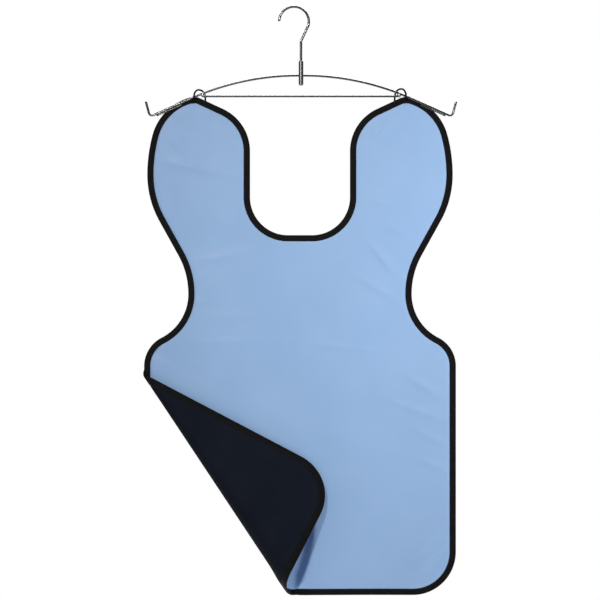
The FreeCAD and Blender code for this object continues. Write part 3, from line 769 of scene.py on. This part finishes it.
def tape_section():
    """The folded tape's cross-section: (inset, depth) round its outside, then back inside it."""
    half = (BACK - FRONT) / 2
    outside = [(TAPE_WIDTH, 0.00048 - half), (0.00935, 0.00022 - half), (0.00900, 0.00008 - half),
               (0.00850, 0.00004 - half), (0.00800, 0.00014 - half), (0.00750, 0.00003 - half),
               (0.00600, -0.00006 - half), (0.00400, -0.00004 - half)]
    for degrees in range(0, 90, 15):
        round_off = math.radians(degrees)
        outside.append((TAPE_BEND * (1 - math.sin(round_off)), -half * math.cos(round_off)))
    outside.append((0.0, 0.0))
    outside += [(inset, -depth) for inset, depth in outside[-2::-1]]
    inner = half - TAPE_THICKNESS
    lining = [(TAPE_WIDTH, inner), (0.0050, inner), (COVER_INSET, inner),
              (COVER_INSET, -inner), (0.0050, -inner), (TAPE_WIDTH, -inner)]
    return np.array(outside + lining)


def make_tape(material):
    """Edge tape folded round the whole outline, cut where the corner rolls."""
    section = tape_section()
    rows = np.array([outline(max(inset, 0.0), TAPE_SPACING) for inset, _depth in section])
    sides, count = rows.shape[:2]
    steps = np.linalg.norm(np.diff(rows[0], axis=0, append=rows[0][:1]), axis=1)
    along = np.concatenate([[0], np.cumsum(steps)[:-1]])
    runs = np.linalg.norm(np.diff(section, axis=0, prepend=section[:1]), axis=1).cumsum()
    mesh = bmesh.new()
    fact = mesh.verts.layers.float_vector.new("tape")
    grid = []
    pucker = PUCKER_RISE * np.sin(along / PUCKER_PITCH)
    for side in range(sides):
        inset, depth = section[side]
        line = []
        lift = pucker * smooth(0.0055, 0.0092, inset) * np.sign(depth)
        for step in range(count):
            x, z = rows[side][step] + ORIGIN
            vert = mesh.verts.new((x, MIDDLE + depth + lift[step], z))
            vert[fact] = (along[step], runs[side], 0.0)
            line.append(vert)
        grid.append(line)
    for side in range(sides):
        other = (side + 1) % sides
        for step in range(count):
            ahead = (step + 1) % count
            mesh.faces.new((grid[side][step], grid[side][ahead], grid[other][ahead], grid[other][step]))
    for angle in facet_angles():
        middle = unit(-angle)
        across = Vector((middle[1], 0, -middle[0]))
        zone = [f for f in mesh.faces if in_cone(f.calc_center_median())]
        near = zone + list({e for f in zone for e in f.edges}) + list({v for f in zone for v in f.verts})
        bmesh.ops.bisect_plane(mesh, geom=near, dist=1e-7, plane_co=APEX, plane_no=across)
    bmesh.ops.triangulate(mesh, faces=mesh.faces)
    mesh.verts.index_update()
    flat = np.array([v.co for v in mesh.verts])
    lie = np.array([v[fact] for v in mesh.verts])
    triangles = np.array([[v.index for v in f.verts] for f in mesh.faces])
    mesh.free()
    regions = region_of(flat, triangles)
    pieces = split_layer("edge_tape", flat, triangles, regions, {"tape": lie}, material)
    hang(pieces)
    replace_nodes(pieces, ["edge_binding"])


def in_cone(point):
    """Whether a flat point is in or near the part of the cloth that rolls."""
    angle = math.degrees(math.atan2(APEX.z - point.z, point.x - APEX.x))
    return FOLD_TILT - CUT_MARGIN < angle < TURNS_END + CUT_MARGIN


def stitch_shape():
    """One stitch along X: a short thread with sunken ends, as points and triangles."""
    rings, around = 6, 6
    points = []
    for ring in range(rings + 1):
        share = ring / rings
        bulge = math.sin(math.pi * share) ** 0.5
        for corner in range(around):
            turn = math.tau * corner / around
            points.append(((share - 0.5) * STITCH_LENGTH, STITCH_RADIUS * bulge * math.cos(turn),
                           STITCH_RADIUS * bulge * math.sin(turn) - STITCH_SINK * (2 * share - 1) ** 2))
    triangles = []
    for ring in range(rings):
        for corner in range(around):
            a = ring * around + corner
            b = ring * around + (corner + 1) % around
            triangles += [(a, b, a + around), (b, b + around, a + around)]
    return np.array(points), np.array(triangles)


def make_stitches(material):
    """Lock stitches near the tape's inner edge, front and back."""
    shape, faces = stitch_shape()
    route = place(outline(STITCH_INSET, 0.001))
    steps = np.linalg.norm(np.diff(route, axis=0, append=route[:1]), axis=1)
    along = np.concatenate([[0], np.cumsum(steps)])
    closed = np.concatenate([route, route[:1]])
    count = int(along[-1] / STITCH_PITCH)
    flat, triangles = [], []
    for side, depth in ((-1, FRONT + STITCH_DEPTH), (1, BACK - STITCH_DEPTH)):
        for number in range(count):
            middle = along[-1] * (number + 0.5) / count
            x, z = [np.interp(middle, along, closed[:, k]) for k in (0, 1)]
            ahead = [np.interp(middle + 0.0005, along, closed[:, k]) for k in (0, 1)]
            direction = np.array([ahead[0] - x, ahead[1] - z])
            direction = direction / np.linalg.norm(direction)
            beside = np.array([-direction[1], direction[0]])
            triangles.append(faces + len(flat) * len(shape))
            flat.append(np.stack([
                x + shape[:, 0] * direction[0] + shape[:, 1] * beside[0],
                depth + side * shape[:, 2],
                z + shape[:, 0] * direction[1] + shape[:, 1] * beside[1]], axis=1))
    whole = np.array([region_of(points, np.array([[0, len(points) // 2, len(points) - 1]]))[0]
                      for points in flat])
    flat = np.concatenate(flat)
    triangles = np.concatenate(triangles)
    regions = np.repeat(whole, len(faces))
    pieces = split_layer("edge_stitches", flat, triangles, regions, {}, material)
    hang(pieces)


# hanging loops

WIRE_RADIUS = 0.00175
LOOP_RADIUS = 0.00125
BRAID_RADIUS = 0.00140
LOOP_SPAN = 0.017
LOOP_RISE = 0.011
LOOP_CLEARANCE = 0.0019
SEWN = LOOP_RADIUS + 0.0001
AHEAD = -(WIRE_RADIUS + LOOP_RADIUS + LOOP_CLEARANCE)
# the arm's wire lies this far above the lobes' top at the right loop, and below it at the left one
WIRE_OFFSET = 0.00067
BRAID_PITCH = 0.00042
BRAID_RELIEF = 0.00008

TACK_WRAPS = 9
TACK_HEIGHT = 0.0038
TACK_LEAN = 0.00035
TACK_STAND_OFF = 0.00005
TACK_RISE = 0.0028
TACK_THREAD_RADIUS = 0.00023


def loop_route(side):
    """The cord's route over one arm, from its front foot to its back foot."""
    fine = outline(0.0, 0.0002)
    peak_x = fine[np.argmax(fine[:, 1]), 0]
    wire = side * WIRE_OFFSET
    points = [
        (0.0005, FRONT - SEWN, -0.00931),
        (0.0004, FRONT - SEWN, -0.00646),
        (0.0, AHEAD, wire - 0.0026),
        (0.0004, AHEAD + 0.0001, wire + 0.45 * LOOP_RISE),
        (0.26 * LOOP_SPAN, 0.45 * AHEAD, wire + LOOP_RISE),
        (0.62 * LOOP_SPAN, -0.35 * AHEAD, wire + LOOP_RISE - 0.0002),
        (0.93 * LOOP_SPAN, -1.05 * AHEAD, wire + LOOP_RISE - 0.0042),
        (LOOP_SPAN, BACK + SEWN - 0.001, -0.001),
        (LOOP_SPAN, BACK + SEWN, -0.007),
        (LOOP_SPAN, BACK + SEWN, -0.013),
    ]
    return [Vector((ORIGIN[0] + side * (abs(peak_x) - u), y, TOP_OF_LOBES + z)) for u, y, z in points]


def smooth_line(name, points):
    """Points along the NURBS spline that a route's points control."""
    curve = bpy.data.curves.new(name, "CURVE")
    curve.dimensions = "3D"
    spline = curve.splines.new("NURBS")
    spline.points.add(len(points) - 1)
    for control, point in zip(spline.points, points):
        control.co = (*point, 1.0)
    spline.order_u = 3
    spline.use_endpoint_u = True
    spline.resolution_u = 24
    holder = bpy.data.objects.new(name, curve)
    bpy.context.scene.collection.objects.link(holder)
    bpy.context.view_layer.update()
    mesh = bpy.data.meshes.new_from_object(holder)
    line = np.array([v.co for v in mesh.vertices])
    bpy.data.objects.remove(holder)
    bpy.data.meshes.remove(mesh)
    return line


def resampled(line, spacing):
    """Evenly spaced points along a line."""
    steps = np.linalg.norm(np.diff(line, axis=0), axis=1)
    along = np.concatenate([[0], np.cumsum(steps)])
    places = np.linspace(0, along[-1], int(along[-1] / spacing) + 1)
    return np.stack([np.interp(places, along, line[:, k]) for k in range(3)], axis=1), places


def tube(line, radius_at, around):
    """Points and triangles of a closed tube; radius_at(ring, turn) gives its surface."""
    tangent = np.gradient(line, axis=0)
    tangent /= np.linalg.norm(tangent, axis=1)[:, None]
    side = np.cross(tangent[0], [1.0, 0.3, 0.1])
    points = []
    for ring, (centre, ahead) in enumerate(zip(line, tangent)):
        side = side - ahead * (side @ ahead)
        side /= np.linalg.norm(side)
        up = np.cross(ahead, side)
        for corner in range(around):
            turn = math.tau * corner / around
            reach = radius_at(ring, turn)
            points.append(centre + reach * (math.cos(turn) * side + math.sin(turn) * up))
    triangles = []
    for ring in range(len(line) - 1):
        for corner in range(around):
            a = ring * around + corner
            b = ring * around + (corner + 1) % around
            triangles += [(a, a + around, b), (b, a + around, b + around)]
    last = (len(line) - 1) * around
    points += [line[0], line[-1]]
    for corner in range(around):
        other = (corner + 1) % around
        triangles += [(len(points) - 2, corner, other), (last + corner, len(points) - 1, last + other)]
    return np.array(points), np.array(triangles)


def make_loop(side, name, material):
    """Braided cord loop."""
    route = loop_route(side)
    line, places = resampled(smooth_line(name, route), 0.00025)
    length = places[-1]

    def radius_at(ring, turn):
        lead = places[ring] / BRAID_PITCH
        over = math.sin(4 * turn + lead) * math.sin(4 * turn - lead)
        closing = min(places[ring], length - places[ring]) / 0.0006
        return (BRAID_RADIUS - BRAID_RELIEF / 2 + BRAID_RELIEF * over) * min(1.0, 0.55 + 0.45 * closing)

    points, triangles = tube(line, radius_at, 24)
    normals = corner_normals(points, triangles)
    piece = build_mesh(name, points, triangles, normals, {}, material)
    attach(piece, "apron")
    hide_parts(name.replace("braided", "cord"))


def make_tacks(side, name, material):
    """Bar tacks: close wraps of thread over each foot of the loop."""
    route = loop_route(side)
    points, triangles = [], []
    for foot, face, towards in ((route[0], FRONT, -1), (route[-1], BACK, 1)):
        low = foot.z - 0.0004
        for number in range(TACK_WRAPS):
            height = low + TACK_HEIGHT * number / (TACK_WRAPS - 1)
            lean = TACK_LEAN * (-1) ** number
            wrap = []
            for step in range(13):
                around = math.pi * step / 12
                wide = 0.0029 if abs(math.cos(around)) > 0.8 else 0.0021
                wrap.append((foot.x + wide * math.cos(around),
                             face + towards * (TACK_STAND_OFF + TACK_RISE * math.sin(around) ** 0.8),
                             height + lean * math.cos(around)))
            line = resampled(np.array(wrap), 0.0003)[0]
            made, faces = tube(line, lambda ring, turn: TACK_THREAD_RADIUS, 6)
            triangles.append(faces + sum(len(p) for p in points))
            points.append(made)
    points = np.concatenate(points)
    triangles = np.concatenate(triangles)
    normals = corner_normals(points, triangles)
    piece = build_mesh(name, points, triangles, normals, {"flat": points}, material)
    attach(piece, "apron")
    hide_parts(name.replace("_bar", ""))


# hanger


def dress_hanger():
    """Better materials on the hanger's CAD pieces, which keep their shape."""
    wire = plated("bright_wire", (0.165, 0.165, 0.16), 0.18, 0.28, 900.0, 0.00003)
    barrel = plated("bright_barrel", (0.27, 0.27, 0.26), 0.34, 0.46, 1400.0, 0.00005)
    bead = plated("weld_bead", (0.62, 0.62, 0.61), 0.22, 0.42, 1100.0, 0.00020)
    notched = plated("notched_rod", (0.15, 0.15, 0.147), 0.26, 0.40, 1200.0, 0.00004)
    dressing = {"hook_wire": wire, "arc_wire": wire, "crossbar": wire, "swivel_barrel": barrel,
                "left_weld": bead, "right_weld": bead,
                "left_grip_rod": notched, "right_grip_rod": notched}
    for name, material in dressing.items():
        node = frame["nodes"][name]
        node.data.materials.clear()
        node.data.materials.append(material)


# stage, light and camera

VIEW_WIDTH = 0.900
LENS = 240.0
SENSOR = 36.0
LOOK_UP = 0.0015
FLOOR_RADIUS = 3.6
FLOOR_DROP = 0.32
MIDDLE_OF_APRON = Vector((ORIGIN[0], 0.0, -0.42))
RIGHT_OF_WAIST = Vector((0.17, 0.0, -0.38))


def make_camera():
    """Level camera in front of the apron, far enough away for a flat view."""
    data = bpy.data.cameras.new("camera")
    data.lens = LENS
    data.sensor_width = SENSOR
    data.clip_end = 100.0
    camera = bpy.data.objects.new("camera", data)
    bpy.context.scene.collection.objects.link(camera)
    middle = (CAD_LOW.z + CAD_HIGH.z) / 2 + LOOK_UP
    camera.location = (ORIGIN[0], -VIEW_WIDTH * LENS / SENSOR, middle)
    camera.rotation_euler = (math.radians(90.0), 0.0, 0.0)
    bpy.context.scene.camera = camera


def make_floor():
    """Plain pale floor under the hanging apron."""
    mesh = bpy.data.meshes.new("floor")
    shape = bmesh.new()
    bmesh.ops.create_circle(shape, cap_ends=True, segments=96, radius=FLOOR_RADIUS)
    shape.to_mesh(mesh)
    shape.free()
    floor = bpy.data.objects.new("floor", mesh)
    floor.location = (0.0, 0.0, CAD_LOW.z - FLOOR_DROP)
    bpy.context.scene.collection.objects.link(floor)
    look = Shader("pale_floor", (0.82, 0.82, 0.82), 0.8)
    look.link(look.spread(look.noise(look.spot(), 3.0), 0.76, 0.84), look.bsdf.inputs["Roughness"])
    mesh.materials.append(look.material)


def area_light(name, place_at, size, power, target=MIDDLE_OF_APRON, spread=180.0):
    """Soft square light aimed at a point of the apron; a smaller spread fades away from there."""
    data = bpy.data.lights.new(name, "AREA")
    data.shape = "SQUARE"
    data.size = size
    data.energy = power
    data.spread = math.radians(spread)
    light = bpy.data.objects.new(name, data)
    bpy.context.scene.collection.objects.link(light)
    light.location = place_at
    light.rotation_euler = (target - Vector(place_at)).to_track_quat("-Z", "Y").to_euler()
    return light


def make_light():
    """Soft key from the left, one from the right, lights behind and above, and a white backdrop."""
    area_light("key", (-0.62, -2.45, 0.40), 0.18, 5.0, RIGHT_OF_WAIST, 80.0)
    side = area_light("side", (1.20, -0.78, -0.24), 0.40, 4.6, RIGHT_OF_WAIST, 100.0)
    side.visible_glossy = False
    area_light("behind", (0.3, 3.4, 1.9), 3.0, 260.0)
    area_light("above", (0.0, 0.9, 2.4), 1.6, 40.0)
    world = bpy.data.worlds.new("room")
    bpy.context.scene.world = world
    world.use_nodes = True
    tree = world.node_tree
    tree.nodes.clear()
    output = tree.nodes.new("ShaderNodeOutputWorld")
    seen = tree.nodes.new("ShaderNodeBackground")
    seen.inputs["Color"].default_value = (1.0, 1.0, 1.0, 1.0)
    around = tree.nodes.new("ShaderNodeBackground")
    around.inputs["Color"].default_value = (0.080, 0.082, 0.085, 1.0)
    path = tree.nodes.new("ShaderNodeLightPath")
    mix = tree.nodes.new("ShaderNodeMixShader")
    tree.links.new(path.outputs["Is Camera Ray"], mix.inputs["Fac"])
    tree.links.new(around.outputs["Background"], mix.inputs[1])
    tree.links.new(seen.outputs["Background"], mix.inputs[2])
    tree.links.new(mix.outputs["Shader"], output.inputs["Surface"])
    bpy.context.scene.view_settings.view_transform = "Standard"


make_camera()
cord = black_cord()
thread = black_thread()
make_loop(-1, "left_braided_loop", cord)
make_loop(1, "right_braided_loop", cord)
make_tacks(-1, "left_loop_bar_tacks", thread)
make_tacks(1, "right_loop_bar_tacks", thread)
face, rear = make_covers(blue_vinyl(), navy_nylon(), lead_vinyl())
make_tape(black_tape())
make_stitches(thread)
dress_hanger()
make_floor()
make_light()
